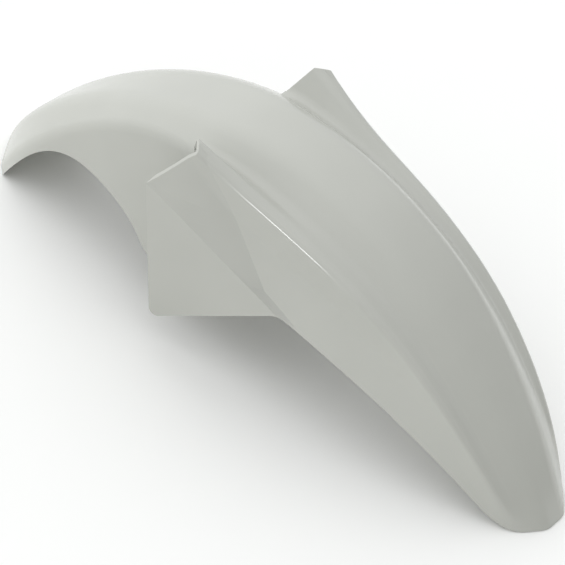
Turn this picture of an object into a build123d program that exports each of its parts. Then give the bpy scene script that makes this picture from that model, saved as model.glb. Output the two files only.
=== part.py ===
from build123d import *
import os
from math import acos, atan2, cos, degrees, exp, hypot, radians, sin, tan

os.makedirs("parts", exist_ok=True)

# Front mudguard of a motorcycle: one moulded plastic shell that arches over the wheel.
# +X points forward, +Y to the rider's left, +Z up. It stands on its front tip and its tail at Z = 0.
# Lengths are in millimetres.
# Angles are in degrees about the wheel axle, from straight up, forward positive.

# Wall and arch
wall = 3.0
brow_share_seam = 0.56  # share of the valley's half width over which the crown stays level
brow_share_tip = 0.42
brow_share_tail = 0.05
tail_pinch = 3.0  # the crown narrows late towards the tail
arch_radius = 335.0  # outside of the crown, from the axle
tip_angle = 69.0  # where the crown's front end meets the ground plane
tip_kick = 22.0  # how far the crown swings outward at the front tip
kick_angle = 38.0  # where that swing starts
tail_swell = 8.0  # how far the crown swells outward towards the tail

# Seam between the front shell, with its ridges, and the rear shell, with its skirts
seam_angle = -12.0

# Valley between crown and ridge: half width, and depth under the crown, at four even stations
valley_half_wing = 59.5
valley_half_brow = 54.0
valley_half_nose = 49.5
valley_half_tip = 30.0
valley_depth_wing = 17.5
valley_depth_brow = 23.5
valley_depth_nose = 17.0
valley_depth_tip = 11.0

# Crest, the ridge's outer edge: half width, and depth under the crown, at the same stations
crest_half_wing = 91.0
crest_half_brow = 77.0
crest_half_nose = 64.3
crest_half_tip = 38.5
crest_depth_wing = -3.3
crest_depth_brow = 25.8
crest_depth_nose = 18.8
crest_depth_tip = 22.0

# The crest rises and flares outward where the ridge ends above the wing
crest_lift = 17.5
crest_flare = 4.0
lift_angle = 3.0  # where the rise starts

# Flat on top of the ridge, inward of the crest, and how far its inner corner stands up
flat_share = 0.34
flat_share_wing = 0.44
flat_rise_wing = 13.8
flat_rise_tip = 1.8
rise_fade = 6.0  # how soon the inner corner sinks from the wing towards the tip

# Steep flank under the crest, and the soft crease at its foot
flank_height = 18.0
flank_least = 6.0
flank_most = 0.45  # largest share of the side wall that the flank takes
crease_depth = 3.5
crease_least = 0.3
crease_share = 0.25  # where along the front shell the crease is deepest

# Wing that covers the fork leg: its side outline, forward of the axle and above the ground
wing_peak_forward = -54.0
wing_peak_height = 213.0
wing_rear_forward = -76.5
wing_rear_height = 165.0
wing_low_forward = -50.5
wing_low_height = 24.0
wing_front_forward = 67.5
wing_front_height = 104.0
wing_half_width = 104.0
wing_toe_in = 5.2  # the flat panel turns inward towards the front
wing_low_round = 7.0
wing_front_round = 18.0

# Corners of the ridge's slanting rear end: on the flat at the wing's peak, and on the crest
peak_half = 77.7
crest_end_forward = -41.5
crest_end_half = 90.2
crest_end_drop = 1.3  # below the wing's peak

# Front side wall, from the wing to the tip
side_half_start = 91.5
side_half_end = 48.5
edge_radius = 440.0
tip_edge_back = 32.2882  # behind the front tip, where the edge meets the ground
tip_round = 58.0

# Rear skirts: shoulder half width and depth under the crown at four even stations, and flare
shoulder_half_seam = 64.0
shoulder_half_front = 58.5
shoulder_half_rear = 57.5
shoulder_half_tail = 39.5
shoulder_depth_front = 16.0
shoulder_depth_rear = 23.0
shoulder_depth_tail = 22.7
skirt_flare_front = 4.0
skirt_flare_rear = 5.0
skirt_flare_tail = 34.0

# How far the skirt is formed below its shoulder, before its lower edge is cut
skirt_drop_seam = 175.0
skirt_drop_front = 120.0
skirt_drop_rear = 40.0
skirt_drop_tail = 22.0

# Lower edge of the rear skirt, forward of the axle and above the ground
tail_edge_ahead = 35.2468  # ahead of the tail, where the edge meets the ground
skirt_arch_forward = -183.0
skirt_arch_height = 86.0
skirt_dip_forward = -108.0
skirt_dip_height = 61.0
tab_low_forward = -55.0
tab_low_height = 44.0
tail_edge_lean = 0.6  # how far the edge leans forward as it leaves the ground

# Mounting tab inside each wing, with two screw holes on an upright line
tab_front_forward = -2.0
tab_round = 18.0
hole_radius = 3.3
hole_spacing = 50.0
hole_low_height = 78.0
hole_forward = -31.0

# How far each bend of the wall reaches to either side of its corner
brow_reach = 12.0
valley_reach = 10.0
flat_reach = 4.7
crest_reach = 3.4
crease_reach = 3.5
panel_reach = 7.0
shoulder_reach = 7.5
run_share = 0.46  # largest share of a straight run that a bend may take

# How many short curves each bend is drawn in, which keeps its faces narrow
brow_count = 5
valley_count = 4
ridge_count = 3
fold_count = 2
shoulder_count = 4

# Sections of the two lofts
front_spans = 9
rear_spans = 4

# Margins that only the trimming tools use
spare = 12.0
overrun = 2.5
clear = 400.0
slant_stretch = 3.0

axle_depth = (arch_radius + tip_kick) * cos(radians(tip_angle))
tail_radius = arch_radius + tail_swell
tail_angle = -degrees(acos(axle_depth / tail_radius))
tip_reach = (arch_radius + tip_kick) * sin(radians(tip_angle))
tail_reach = -tail_radius * sin(radians(tail_angle))
axle_x = (tail_reach - tip_reach) / 2
axle = Vector(axle_x, 0, -axle_depth)
swell_start = (2 * seam_angle + tail_angle) / 3
tip_edge_forward = tip_reach - tip_edge_back
tail_edge_forward = tail_edge_ahead - tail_reach


def radial_plane(angle):
    """Plane through the axle: local x is the half width, local y the radius."""
    turn = radians(angle)
    return Plane(origin=axle, x_dir=(0, 1, 0), z_dir=(cos(turn), 0, -sin(turn)))


def spot(forward, height):
    """Point of a side outline."""
    return (axle_x + forward, height)


def polar_spot(angle, radius):
    """Point of a side outline, given about the axle."""
    return spot(radius * sin(radians(angle)), radius * cos(radians(angle)) - axle_depth)


def through(share, first, second, third, fourth):
    """Cubic through four values at evenly spaced stations, share running from 0 to 1."""
    step = 3 * share
    return (
        first * (1 - step) * (2 - step) * (3 - step) / 6
        + second * step * (2 - step) * (3 - step) / 2
        - third * step * (1 - step) * (3 - step) / 2
        + fourth * step * (1 - step) * (2 - step) / 6
    )


def ease(value, start, end):
    """Smooth change from 0 at start to 1 at end."""
    share = min(1.0, max(0.0, (value - start) / (end - start)))
    return share**2 * (3 - 2 * share)


def crown_radius(angle):
    """Outside of the crown on the centre line."""
    past = max(0.0, (angle - kick_angle) / (tip_angle - kick_angle))
    return arch_radius + tip_kick * past**2 + tail_swell * ease(angle, swell_start, tail_angle)


def line_radius(angle, start, end):
    """Radius at which a ray from the axle meets the straight side line from start to end."""
    (x1, z1), (x2, z2) = start, end
    s, c = sin(radians(angle)), cos(radians(angle))
    return ((x1 * (z2 - z1)) - (z1 * (x2 - x1))) / (s * (z2 - z1) - c * (x2 - x1))


wing_rear = (wing_rear_forward, wing_rear_height + axle_depth)
wing_low = (wing_low_forward, wing_low_height + axle_depth)
wing_front = (wing_front_forward, wing_front_height + axle_depth)
wing_front_angle = degrees(atan2(*wing_front))
side_edge_angle = degrees(atan2(tip_edge_forward, axle_depth))


def panel_half(angle, radius):
    """Half width of the wing's flat outer panel."""
    forward = radius * sin(radians(angle)) - wing_rear_forward
    return wing_half_width - forward * tan(radians(wing_toe_in))


def side_half(angle):
    """Half width of the front side wall at its lower edge."""
    share = (angle - wing_front_angle) / (side_edge_angle - wing_front_angle)
    return side_half_start - (side_half_start - side_half_end) * share**2


def side_radius(angle):
    """Radius of the front side wall's lower edge, which is an arc in the side view."""
    x1, z1 = wing_front
    x2, z2 = tip_edge_forward, axle_depth
    chord = hypot(x2 - x1, z2 - z1)
    rise = (edge_radius**2 - chord**2 / 4) ** 0.5
    cx = (x1 + x2) / 2 + rise * (z2 - z1) / chord
    cz = (z1 + z2) / 2 - rise * (x2 - x1) / chord
    s, c = sin(radians(angle)), cos(radians(angle))
    along = cx * s + cz * c
    return along + (along**2 - cx**2 - cz**2 + edge_radius**2) ** 0.5


def front_corners(angle):
    """Outer corners of the front shell's half section, from the centre line to below its edge."""
    share = max(0.0, (angle - seam_angle) / (tip_angle - seam_angle))
    ahead = share / crease_share
    swell = ahead * exp(1 - ahead)
    lift = ease(angle, lift_angle, seam_angle)
    crown = crown_radius(angle)
    valley = (
        through(share, valley_half_wing, valley_half_brow, valley_half_nose, valley_half_tip),
        crown - through(share, valley_depth_wing, valley_depth_brow, valley_depth_nose, valley_depth_tip),
    )
    crest = (
        through(share, crest_half_wing, crest_half_brow, crest_half_nose, crest_half_tip)
        + crest_flare * lift,
        crown
        - through(share, crest_depth_wing, crest_depth_brow, crest_depth_nose, crest_depth_tip)
        + crest_lift * lift,
    )
    rise = flat_rise_tip + (flat_rise_wing - flat_rise_tip) * (1 - share) ** rise_fade
    part = flat_share + (flat_share_wing - flat_share) * lift
    flat = (crest[0] + part * (valley[0] - crest[0]), crest[1] + part * (valley[1] - crest[1]) + rise)
    if angle < wing_front_angle:
        fold_radius = line_radius(angle, wing_rear, wing_front)
        fold = (panel_half(angle, fold_radius), fold_radius)
        end_radius = line_radius(angle, wing_low, wing_front) - spare
        end = (panel_half(angle, end_radius), end_radius)
    else:
        fold = (max(side_half(angle), crest[0] + wall), side_radius(angle) - spare / 2)
        end = (fold[0], fold[1] - spare)
    run = (fold[0] - crest[0], fold[1] - crest[1])
    length = hypot(*run)
    down = min(flank_most, (flank_least + flank_height * swell) / length)
    push = (crease_least + crease_depth * swell) / length
    foot = (crest[0] + down * run[0] + push * run[1], crest[1] + down * run[1] - push * run[0])
    brow = (valley[0] * (brow_share_seam + (brow_share_tip - brow_share_seam) * share), crown)
    return [(0, crown), brow, valley, flat, crest, foot, fold, end]


def rear_corners(angle):
    """Outer corners of the rear shell's half section, from the centre line to below its edge."""
    share = (angle - seam_angle) / (tail_angle - seam_angle)
    seam_level = brow_share_seam * valley_half_wing
    seam_slope = valley_depth_wing / (valley_half_wing - seam_level)
    shoulder_depth_seam = seam_slope * (shoulder_half_seam - seam_level)
    crown = crown_radius(angle)
    half = through(share, shoulder_half_seam, shoulder_half_front, shoulder_half_rear, shoulder_half_tail)
    depth = through(
        share, shoulder_depth_seam, shoulder_depth_front, shoulder_depth_rear, shoulder_depth_tail
    )
    flare = through(share, 0.0, skirt_flare_front, skirt_flare_rear, skirt_flare_tail)
    drop = through(share, skirt_drop_seam, skirt_drop_front, skirt_drop_rear, skirt_drop_tail)
    level = brow_share_seam + (brow_share_tail - brow_share_seam) * max(0.0, share) ** tail_pinch
    brow = (valley_half_wing * level, crown)
    shoulder = (half, crown - depth)
    end = (half + drop * tan(radians(flare)), shoulder[1] - drop)
    return [(0, crown), brow, shoulder, end]


def turn_at(before, corner, after):
    """Change of direction at a corner, in radians, right turns positive."""
    first = atan2(corner[1] - before[1], corner[0] - before[0])
    second = atan2(after[1] - corner[1], after[0] - corner[0])
    return first - second


def inset(corners):
    """The same chain of corners, one wall further in."""
    moved = []
    for start, end in zip(corners, corners[1:]):
        dx, dy = end[0] - start[0], end[1] - start[1]
        length = hypot(dx, dy)
        shift = (wall * dy / length, -wall * dx / length)
        moved.append(((start[0] + shift[0], start[1] + shift[1]), (dx / length, dy / length)))
    inner = [moved[0][0]]
    for (p, d), (q, e) in zip(moved, moved[1:]):
        cross = d[0] * e[1] - d[1] * e[0]
        reach = ((q[0] - p[0]) * e[1] - (q[1] - p[1]) * e[0]) / cross
        inner.append((p[0] + reach * d[0], p[1] + reach * d[1]))
    dx, dy = moved[-1][1]
    inner.append((corners[-1][0] + wall * dy, corners[-1][1] - wall * dx))
    return inner


def toward(start, end, reach):
    """Point at a distance from start on the way to end."""
    share = reach / hypot(end[0] - start[0], end[1] - start[1])
    return (start[0] + share * (end[0] - start[0]), start[1] + share * (end[1] - start[1]))


def bend_point(start, corner, end, share):
    """Point of the round bend that touches its two runs at start and end."""
    chord = hypot(end[0] - start[0], end[1] - start[1])
    weight = chord / 2 / hypot(corner[0] - start[0], corner[1] - start[1])
    pulls = ((1 - share) ** 2, 2 * weight * share * (1 - share), share**2)
    x = sum(pull * point[0] for pull, point in zip(pulls, (start, corner, end))) / sum(pulls)
    y = sum(pull * point[1] for pull, point in zip(pulls, (start, corner, end))) / sum(pulls)
    return (x, y)


def draw_bend(start, corner, end, count):
    """Round bend in a number of short curves."""
    for i in range(count):
        first, middle, last = [bend_point(start, corner, end, (i + k / 2) / count) for k in range(3)]
        pull = tuple(2 * m - (f + l) / 2 for f, m, l in zip(first, middle, last))
        Bezier(first, pull, last)


def draw_chain(corners, bends):
    """Straight runs joined by bends: each its reach and its count of curves, 0 for a plain corner."""
    here = corners[0]
    for before, corner, after, (reach, count) in zip(corners, corners[1:], corners[2:], bends):
        start = toward(corner, before, reach) if count else corner
        end = toward(corner, after, reach) if count else corner
        Line(here, start)
        draw_bend(start, corner, end, count)
        here = end
    Line(here, corners[-1])


def wall_section(angle, corners, bends):
    """Closed outline of the wall in one radial plane."""
    inner = inset(corners)
    runs = [hypot(q[0] - p[0], q[1] - p[1]) for p, q in zip(corners, corners[1:])]
    turns = [turn_at(*three) for three in zip(corners, corners[1:], corners[2:])]
    reaches = [min(reach, run_share * min(pair)) for (reach, _, _), *pair in zip(bends, runs, runs[1:])]
    outside = [(reach, count) for reach, (_, count, _) in zip(reaches, bends)]
    inner_reaches = [reach - wall * tan(turn / 2) for reach, turn in zip(reaches, turns)]
    inside = [(reach, count) for reach, (_, _, count) in zip(inner_reaches, bends)]
    with BuildSketch(radial_plane(angle)) as section:
        with BuildLine():
            draw_chain(corners, outside)
            draw_chain(inner, inside)
            Line(corners[0], inner[0])
            Line(corners[-1], inner[-1])
        make_face()
    return section.sketch


def ridge_radius(angle):
    """Middle of the wall between valley and flat, above the mounting tab."""
    outer = front_corners(angle)
    inner = inset(outer)
    (x1, y1), (x2, y2) = [((a + c) / 2, (b + d) / 2) for (a, b), (c, d) in zip(outer[2:4], inner[2:4])]
    return y1 + (shoulder_half_seam - wall / 2 - x1) * (y2 - y1) / (x2 - x1)


# Each bend: its reach, and its curves on the outside and on the inside, 0 for a plain corner
front_bends = [
    (brow_reach, brow_count, 0),
    (valley_reach, valley_count, valley_count),
    (flat_reach, ridge_count, 0),
    (crest_reach, ridge_count, 0),
    (crease_reach, fold_count, 0),
    (panel_reach, fold_count, 0),
]
rear_bends = [(brow_reach, brow_count, 0), (shoulder_reach, shoulder_count, shoulder_count)]
front_step = (tip_angle + overrun - seam_angle) / front_spans
front_angles = [seam_angle + front_step * i for i in range(-1, front_spans + 1)]
rear_step = (tail_angle - overrun - seam_angle) / rear_spans
rear_angles = [seam_angle + rear_step * i for i in range(rear_spans + 1)]

tip_low = spot(tip_edge_forward, 0)
peak = spot(wing_peak_forward, wing_peak_height)
rear = spot(wing_rear_forward, wing_rear_height)
low = spot(wing_low_forward, wing_low_height)
front = spot(wing_front_forward, wing_front_height)
peak_corner = Vector(peak[0], peak_half, peak[1])
crest_corner = Vector(axle_x + crest_end_forward, crest_end_half, wing_peak_height - crest_end_drop)
rear_corner = Vector(rear[0], wing_half_width, rear[1])
to_crest = crest_corner - peak_corner
ridge_end = Plane(origin=peak_corner, x_dir=to_crest, z_dir=to_crest.cross(rear_corner - peak_corner))

with BuildPart() as front_half:
    loft([wall_section(a, front_corners(a), front_bends) for a in front_angles])
    # Side outline: rear and lower edge of the wing, the long front edge and the tip on the ground
    with BuildSketch(Plane.XZ) as side_outline:
        with BuildLine():
            Polyline(spot(clear, clear), spot(-clear, clear), rear, low, front)
            RadiusArc(front, tip_low, edge_radius)
            Polyline(tip_low, spot(clear, 0), spot(clear, clear))
        make_face()
        fillet(side_outline.vertices().sort_by_distance(low)[0], wing_low_round)
        fillet(side_outline.vertices().sort_by_distance(front)[0], wing_front_round)
        fillet(side_outline.vertices().sort_by_distance(tip_low)[0], tip_round)
    extrude(amount=clear, both=True, mode=Mode.INTERSECT)
    # The ridge's inner wall ends in a slanting edge, from the wing's peak towards its rear corner
    slant = Vector(*rear) + (Vector(*peak) - Vector(*rear)) * slant_stretch
    with BuildSketch(Plane.XZ.offset(-valley_half_wing)):
        with BuildLine():
            Polyline(rear, slant, spot(-clear, slant.Y), spot(-clear, wing_rear_height), rear)
        make_face()
    extrude(amount=-clear, mode=Mode.SUBTRACT)
    # A tilted cut takes the ridge's outer side from the peak over the crest's end to the wing's rear corner
    with BuildSketch(ridge_end):
        Rectangle(clear, clear)
    extrude(amount=clear, mode=Mode.SUBTRACT)
    # Behind the seam the crown belongs to the rear shell
    with BuildSketch(Plane.XZ):
        with BuildLine():
            Polyline(
                polar_spot(seam_angle, 0),
                polar_spot(seam_angle, clear),
                spot(-clear, clear),
                spot(-clear, -axle_depth),
                close=True,
            )
        make_face()
    extrude(amount=-valley_half_wing, mode=Mode.SUBTRACT)

with BuildPart() as rear_half:
    loft([wall_section(a, rear_corners(a), rear_bends) for a in rear_angles])
    with BuildSketch(Plane.XZ):
        with BuildLine():
            skirt_edge = Spline(
                spot(tail_edge_forward, 0),
                spot(skirt_arch_forward, skirt_arch_height),
                spot(skirt_dip_forward, skirt_dip_height),
                spot(tab_low_forward, tab_low_height),
                tangents=[(tail_edge_lean, 1), (1, 0)],
            )
            Polyline(
                skirt_edge @ 1,
                spot(clear, tab_low_height),
                spot(clear, clear),
                spot(-clear, clear),
                spot(-clear, 0),
                skirt_edge @ 0,
            )
        make_face()
    extrude(amount=clear, both=True, mode=Mode.INTERSECT)

# Mounting tab: the skirt's plane carried forward inside the wing, up to the ridge
tab_front_angle = degrees(atan2(tab_front_forward, arch_radius))
tab_angles = [seam_angle, (seam_angle + tab_front_angle) / 2, tab_front_angle]
tab_top = [polar_spot(a, ridge_radius(a)) for a in tab_angles]
seam_low = axle_depth + tab_low_height
with BuildPart() as tab:
    with BuildSketch(Plane.XZ.offset(-shoulder_half_seam)) as tab_outline:
        with BuildLine():
            ThreePointArc(*tab_top)
            Polyline(
                tab_top[2],
                (tab_top[2][0], tab_low_height),
                spot(seam_low * tan(radians(seam_angle)), tab_low_height),
                tab_top[0],
            )
        make_face()
        fillet(tab_outline.vertices().sort_by_distance((tab_top[2][0], tab_low_height))[0], tab_round)
        with Locations(*[spot(hole_forward, hole_low_height + hole_spacing * i) for i in range(2)]):
            Circle(hole_radius, mode=Mode.SUBTRACT)
    extrude(amount=wall)

with BuildPart() as mudguard:
    add(front_half.part)
    add(rear_half.part)
    add(tab.part)
    mirror(about=Plane.XZ)
mudguard.part.label = "mudguard"
export_step(mudguard.part, "parts/mudguard.step")
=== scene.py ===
# %% [markdown]
# # A motorcycle's front mudguard
# The real part is one shell of glossy plastic, moulded in its own colour, that arches over the front wheel.
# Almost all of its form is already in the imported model, so this lesson is about how such a surface catches light.
# We load the model and fold one last shallow facet into its wings.
# Then we give it the look of moulded plastic and light it softly.

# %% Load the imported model
import math

import bmesh
import bpy
from mathutils import Matrix, Vector


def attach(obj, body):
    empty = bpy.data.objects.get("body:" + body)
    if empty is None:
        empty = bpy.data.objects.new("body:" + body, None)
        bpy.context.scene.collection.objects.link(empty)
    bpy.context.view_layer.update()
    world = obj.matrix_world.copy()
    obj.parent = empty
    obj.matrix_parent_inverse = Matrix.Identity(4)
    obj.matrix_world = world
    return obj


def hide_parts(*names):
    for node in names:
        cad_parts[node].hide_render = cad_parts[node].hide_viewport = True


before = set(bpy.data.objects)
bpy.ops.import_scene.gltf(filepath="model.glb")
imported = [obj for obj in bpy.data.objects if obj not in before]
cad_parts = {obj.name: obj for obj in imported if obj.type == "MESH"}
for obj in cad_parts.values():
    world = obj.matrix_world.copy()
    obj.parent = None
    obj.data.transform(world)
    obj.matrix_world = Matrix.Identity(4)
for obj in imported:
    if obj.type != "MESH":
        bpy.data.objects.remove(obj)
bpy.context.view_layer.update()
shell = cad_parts["mudguard"]

# %% [markdown]
# ## Colours
# Colours are written the way a picture shows them, as sRGB hex values.
# A shader wants linear light, so one function turns the first into the second.


# %% From sRGB to linear
def linear(hex_colour):
    """Linear RGBA from an sRGB hex colour such as #BCBDB6."""
    channels = [int(hex_colour[i : i + 2], 16) / 255 for i in (1, 3, 5)]
    return [c / 12.92 if c <= 0.04045 else ((c + 0.055) / 1.055) ** 2.4 for c in channels] + [1.0]


print("pale grey in linear light", [round(c, 3) for c in linear("#BCBDB6")])

# %% [markdown]
# ## One helper for nodes
# A material is a small graph, and so is a sky.
# This function adds one node to such a graph, sets its options and its sockets, and links what feeds it.


# %% Add a node with its settings and links
def add_node(owner, kind, inputs=(), **options):
    """Adds a node. An input is a plain value, or the output socket of another node."""
    tree = owner.node_tree
    node = tree.nodes.new(kind)
    for name, value in options.items():
        setattr(node, name, value)
    for name, value in dict(inputs).items():
        if isinstance(value, bpy.types.NodeSocket):
            tree.links.new(value, node.inputs[name])
        else:
            node.inputs[name].default_value = value
    return node


print("helper ready")

# %% [markdown]
# ## The shallow facet on the wings
# Each wing panel has two creases that start at its rear edge, run forward and down, and meet at its front foot.
# The triangle between them leans by about six degrees.
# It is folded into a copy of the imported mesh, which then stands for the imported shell.
# First the corners of the loose triangles are joined, so that the copy is one skin.

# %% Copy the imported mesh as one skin
touching = 1e-5  # corners closer than this, in metres, are one corner
form = bmesh.new()
form.from_mesh(shell.data)
bmesh.ops.remove_doubles(form, verts=form.verts, dist=touching)
print("skin of", len(form.verts), "corners and", len(form.faces), "faces")

# %% [markdown]
# ## Cut the creases
# Both creases are straight in side view, so each can be cut by one plane that stands across the part.
# A plane goes through both wings at once, outside and inside.
# The cut edges are marked sharp, so that they stay crisp when the rest is shaded smoothly.

# %% Where the creases run
front_start = Vector((-0.049, 0, 0.2117))
rear_start = Vector((-0.084, 0, 0.165))
meeting = Vector((0.058, 0, 0.104))
across = Vector((0, 1, 0))
print("creases", round((meeting - front_start).length, 3), "and", round((meeting - rear_start).length, 3), "m long")

# %% Cut both creases into the wings
wing_side = 0.082  # near the creases only the wings lie further out than this
wing_front = 0.07  # the panels end behind this
for start in (front_start, rear_start):
    panels = [f for f in form.faces if all(abs(v.co.y) > wing_side and v.co.x < wing_front for v in f.verts)]
    edges = {edge for face in panels for edge in face.edges}
    corners = {corner for face in panels for corner in face.verts}
    cut = bmesh.ops.bisect_plane(
        form,
        geom=[*panels, *edges, *corners],
        dist=touching,
        plane_co=start,
        plane_no=across.cross(meeting - start).normalized(),
    )
    creases = [item for item in cut["geom_cut"] if isinstance(item, bmesh.types.BMEdge)]
    for crease in creases:
        crease.smooth = False
    print("crease of", len(creases), "edges")

# %% [markdown]
# ## Fold the facet
# The rear corner of each wing is pushed outwards by 6 mm.
# The push fades to nothing at the front crease, and along the rear crease it fades to nothing at the meeting point.
# Outside and inside move together, so the wall keeps its thickness.

# %% Push the wings' rear corners out
push = 0.006
fade_in = 0.008  # the push grows over this width at the wing's upper edge
off_front = across.cross(meeting - front_start).normalized()
full = (rear_start - front_start).dot(off_front)
rear_run = meeting - rear_start
for corner in form.verts:
    beside = Vector((corner.co.x, 0, corner.co.z))
    from_front = (beside - front_start).dot(off_front) / full
    to_meeting = 1 - (beside - rear_start).dot(rear_run) / rear_run.length_squared
    on_wing = min(1.0, max(0.0, (abs(corner.co.y) - wing_side) / fade_in))
    share = max(0.0, min(from_front, to_meeting)) * on_wing
    corner.co.y += math.copysign(push * share, corner.co.y)
bmesh.ops.triangulate(form, faces=form.faces)
print("facet leans", round(math.degrees(math.atan(push / abs(full))), 1), "degrees")

# %% [markdown]
# ## The finished form
# The copy becomes the visible piece. It rides on the part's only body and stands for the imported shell.

# %% The visible shell
for face in form.faces:
    face.smooth = True
skin_mesh = bpy.data.meshes.new("mudguard_skin")
form.to_mesh(skin_mesh)
form.free()
skin = bpy.data.objects.new("mudguard_skin", skin_mesh)
bpy.context.scene.collection.objects.link(skin)
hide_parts("mudguard")
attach(skin, "root")
print("piece", skin.name, len(skin_mesh.polygons), "faces")

# %% [markdown]
# ## The plastic's colour
# The plastic is ABS, dyed through before it was moulded, so no paint edge or primer shows anywhere.
# Its colour is even, with only a faint cloudiness where the melt flowed and cooled at different speeds.
# A big soft noise between two close greys gives that. Its patches are about a hand wide, as flow marks are.

# %% Colour of the dyed plastic
flow_patches = 9.0  # in a metre, so each is about 110 mm wide
abs_plastic = bpy.data.materials.new("abs_moulded_gloss_pale_grey")
abs_plastic.use_nodes = True
abs_plastic.node_tree.nodes.clear()
place = add_node(abs_plastic, "ShaderNodeTexCoord").outputs["Object"]
flow = add_node(abs_plastic, "ShaderNodeTexNoise", {"Vector": place, "Scale": flow_patches, "Detail": 2.0})
tint = add_node(abs_plastic, "ShaderNodeValToRGB", {"Fac": flow.outputs["Fac"]})
darker, lighter = tint.color_ramp.elements
darker.position, lighter.position = 0.35, 0.65
darker.color, lighter.color = linear("#B8B9B2"), linear("#BCBDB6")
print("colour varies over about", round(1000 / flow_patches), "mm")

# %% [markdown]
# ## The plastic's gloss
# A polished mould leaves a glossy skin, and handling leaves a faint haze on it.
# The haze changes the roughness a little from place to place, so that a reflection is never quite even.
# Thin plastic also shrinks unevenly as it cools. That leaves a very slight waviness, which bends reflections softly.

# %% Haze and waviness
haze_spots = 40.0  # in a metre, so each is about as wide as a fingertip's smear
waves = 60.0  # in a metre
smoothest, dullest = 0.15, 0.2
haze = add_node(abs_plastic, "ShaderNodeTexNoise", {"Vector": place, "Scale": haze_spots, "Detail": 4.0})
gloss = add_node(
    abs_plastic,
    "ShaderNodeMapRange",
    {
        "Value": haze.outputs["Fac"],
        "From Min": 0.3,
        "From Max": 0.7,
        "To Min": smoothest,
        "To Max": dullest,
    },
)
ripple = add_node(abs_plastic, "ShaderNodeTexNoise", {"Vector": place, "Scale": waves, "Detail": 1.0})
print("roughness from", smoothest, "to", dullest, "and waves about", round(1000 / waves), "mm long")

# %% [markdown]
# ## More contrast for the facet
# On the real part the facet is clearly darker than the panels beside it.
# A lean of six degrees gives less than that in this soft light, so a bump adds to the lean of the folded mesh.
# Its height falls across the triangle from crease to crease.
# Each crease is straight in side view, so it is a range of heights mapped to a range of places along the part.

# %% The two creases as lines in the material
spread = add_node(abs_plastic, "ShaderNodeSeparateXYZ", {"Vector": place})
rear_crease, front_crease = [
    add_node(
        abs_plastic,
        "ShaderNodeMapRange",
        {
            "Value": spread.outputs["Z"],
            "From Min": start.z,
            "From Max": meeting.z,
            "To Min": start.x,
            "To Max": meeting.x,
        },
    ).outputs["Result"]
    for start in (rear_start, front_start)
]
# The triangle narrows to a point. The fall keeps a least length, so that it never turns into a step.
least_run = 0.02
least_end = add_node(abs_plastic, "ShaderNodeMath", {0: rear_crease, 1: least_run}, operation="ADD")
fall_end = add_node(
    abs_plastic,
    "ShaderNodeMath",
    {0: front_crease, 1: least_end.outputs["Value"]},
    operation="MAXIMUM",
)
print("fall drawn between the creases, at least", least_run, "m long")

# %% The fall, on the wings alone
fall_height = 0.0045
panel_side = wing_side + 0.002  # a little further out, clear of the bend above the panel
fall = add_node(
    abs_plastic,
    "ShaderNodeMapRange",
    {
        "Value": spread.outputs["X"],
        "From Min": rear_crease,
        "From Max": fall_end.outputs["Value"],
        "To Min": fall_height,
        "To Max": 0.0,
    },
)
aside = add_node(abs_plastic, "ShaderNodeMath", {0: spread.outputs["Y"]}, operation="ABSOLUTE")
on_panel = add_node(
    abs_plastic,
    "ShaderNodeMath",
    {0: aside.outputs["Value"], 1: panel_side},
    operation="GREATER_THAN",
)
height = add_node(
    abs_plastic,
    "ShaderNodeMath",
    {0: fall.outputs["Result"], 1: on_panel.outputs["Value"]},
    operation="MULTIPLY",
)
# With strength and distance both 1, a height in metres gives a true slope.
lean = add_node(
    abs_plastic,
    "ShaderNodeBump",
    {"Height": height.outputs["Value"], "Strength": 1.0, "Distance": 1.0},
)
print("fall of", fall_height * 1000, "mm added to the fold")

# %% [markdown]
# ## The finished plastic
# ABS bends light by about 1.52, which sets how strongly it mirrors its surroundings.
# Colour, gloss and waviness meet in one shader.

# %% Join colour, gloss and relief
wave = add_node(
    abs_plastic,
    "ShaderNodeBump",
    {"Height": ripple.outputs["Fac"], "Strength": 0.02, "Distance": 0.001, "Normal": lean.outputs["Normal"]},
)
surface = add_node(
    abs_plastic,
    "ShaderNodeBsdfPrincipled",
    {
        "Base Color": tint.outputs["Color"],
        "Roughness": gloss.outputs["Result"],
        "Normal": wave.outputs["Normal"],
        "IOR": 1.52,
    },
)
add_node(abs_plastic, "ShaderNodeOutputMaterial", {"Surface": surface.outputs["BSDF"]})
skin_mesh.materials.append(abs_plastic)
print("material", abs_plastic.name)

# %% [markdown]
# ## Smooth skin, crisp rims
# A moulded skin flows smoothly and breaks only at its rims and sharp folds. Two modifiers shade it that way.
# The first parts the skin where it turns by more than 35 degrees, and along the creases that we marked sharp.
# The second lets the big faces decide the shading, so that narrow strips between them leave no lines.

# %% Modifiers for the shading
rims = skin.modifiers.new("rims", "EDGE_SPLIT")
rims.split_angle = math.radians(35)
even_skin = skin.modifiers.new("even_skin", "WEIGHTED_NORMAL")
even_skin.keep_sharp = True
print("modifiers", [modifier.name for modifier in skin.modifiers])

# %% [markdown]
# ## The floor
# A plain pale sheet under the part catches its shadow and throws a little light back up into the hollow.

# %% Floor
floor_half = 6.0
floor_form = bmesh.new()
bmesh.ops.create_grid(floor_form, x_segments=1, y_segments=1, size=floor_half)
floor_mesh = bpy.data.meshes.new("floor")
floor_form.to_mesh(floor_mesh)
floor_form.free()
floor = bpy.data.objects.new("floor", floor_mesh)
floor.location.z = -0.001  # just clear of the tip and the tail
bpy.context.scene.collection.objects.link(floor)
print("floor", floor_half * 2, "m wide")

# %% White paper for the floor
paper = bpy.data.materials.new("paper_matt_white")
paper.use_nodes = True
paper_surface = paper.node_tree.nodes["Principled BSDF"]
paper_surface.inputs["Base Color"].default_value = linear("#F8F8F6")
paper_surface.inputs["Roughness"].default_value = 0.9
floor_mesh.materials.append(paper)
print("material", paper.name)

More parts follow.
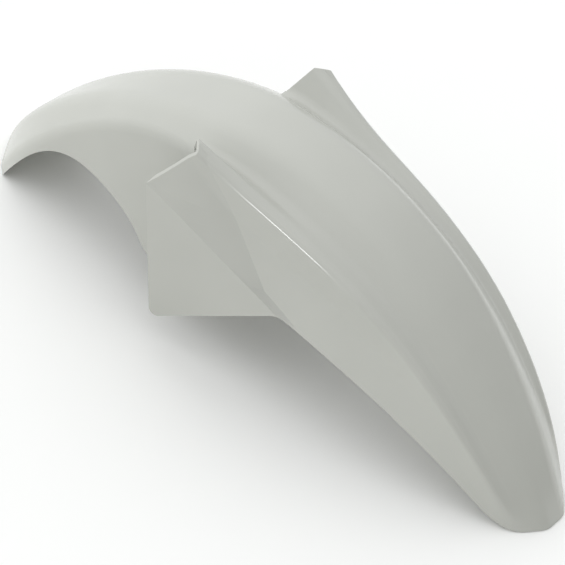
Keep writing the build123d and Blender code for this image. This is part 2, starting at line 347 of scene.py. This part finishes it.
# %% [markdown]
# ## Camera
# The camera stands high in front of the part's right side, far enough away that the perspective is weak.
# It is rolled a little, so that the arch runs across the picture from corner to corner.

# %% Camera
camera_data = bpy.data.cameras.new("camera")
camera_data.sensor_width = 36.0
camera_data.lens = 152.72
camera = bpy.data.objects.new("camera", camera_data)
right = Vector((0.757, 0.6286, 0.1784)).normalized()
back = Vector((0.3771, -0.6433, 0.6663)).normalized()
up = back.cross(right).normalized()
turn = Matrix((up.cross(back), up, back)).transposed().to_4x4()
camera.matrix_world = Matrix.Translation((0.81218, -1.3776, 1.47446)) @ turn
bpy.context.scene.collection.objects.link(camera)
bpy.context.scene.camera = camera
print("camera", tuple(camera.location), camera_data.lens, "mm")

# %% [markdown]
# ## The sky
# Product photographers often put a glossy part inside a white tent, so that no lamp shows as a hard-edged patch.
# A smooth sky does the same here: it is brightest above and behind the part and fades towards the front.
# How far a direction turns from the brightest one is a dot product, and a range turns that into a strength.

# %% A sky that fades from one side to the other
dimmest, brightest = 0.12, 1.68
sky = bpy.data.worlds.new("tent")
sky.use_nodes = True
bright_side = Vector((-0.61, -0.06, 0.79)).normalized()
direction = add_node(sky, "ShaderNodeTexCoord").outputs["Generated"]
nearness = add_node(sky, "ShaderNodeVectorMath", {0: direction, 1: bright_side}, operation="DOT_PRODUCT")
fade = add_node(
    sky,
    "ShaderNodeMapRange",
    {
        "Value": nearness.outputs["Value"],
        "From Min": -0.5,
        "From Max": 1.0,
        "To Min": dimmest,
        "To Max": brightest,
    },
)
tent_light = sky.node_tree.nodes["Background"]
tent_light.inputs["Color"].default_value = linear("#F4F5F6")
sky.node_tree.links.new(fade.outputs["Result"], tent_light.inputs["Strength"])
bpy.context.scene.world = sky
print("sky brightest towards", tuple(round(v, 2) for v in bright_side))

# %% [markdown]
# ## A lamp for the glint
# The tight bend along the near wing's crest catches a pin-sharp glint that a tent alone doesn't give.
# One narrow upright lamp, low at the near side, makes it.
# From the camera only that bend shows its mirror image, because the crown faces further up.
# The lamp takes no part in the soft light, so it shows only where the skin mirrors it.

# %% A strip lamp that only glints
strip_data = bpy.data.lights.new("glint", "AREA")
strip_data.shape = "RECTANGLE"
strip_data.size, strip_data.size_y = 0.1, 0.3
strip_data.energy = 6.0
glint = bpy.data.objects.new("glint", strip_data)
glint.location = (0.07, -2.08, 0.82)
aim = Vector((0, 0, 0.1))
glint.rotation_euler = (aim - glint.location).to_track_quat("-Z", "Y").to_euler()
glint.visible_diffuse = False
bpy.context.scene.collection.objects.link(glint)
print("glint lamp at", tuple(round(v, 2) for v in glint.location))

# %% [markdown]
# ## Look of the picture
# The standard view keeps the pale plastic pale.

# %% View transform
bpy.context.scene.view_settings.view_transform = "Standard"
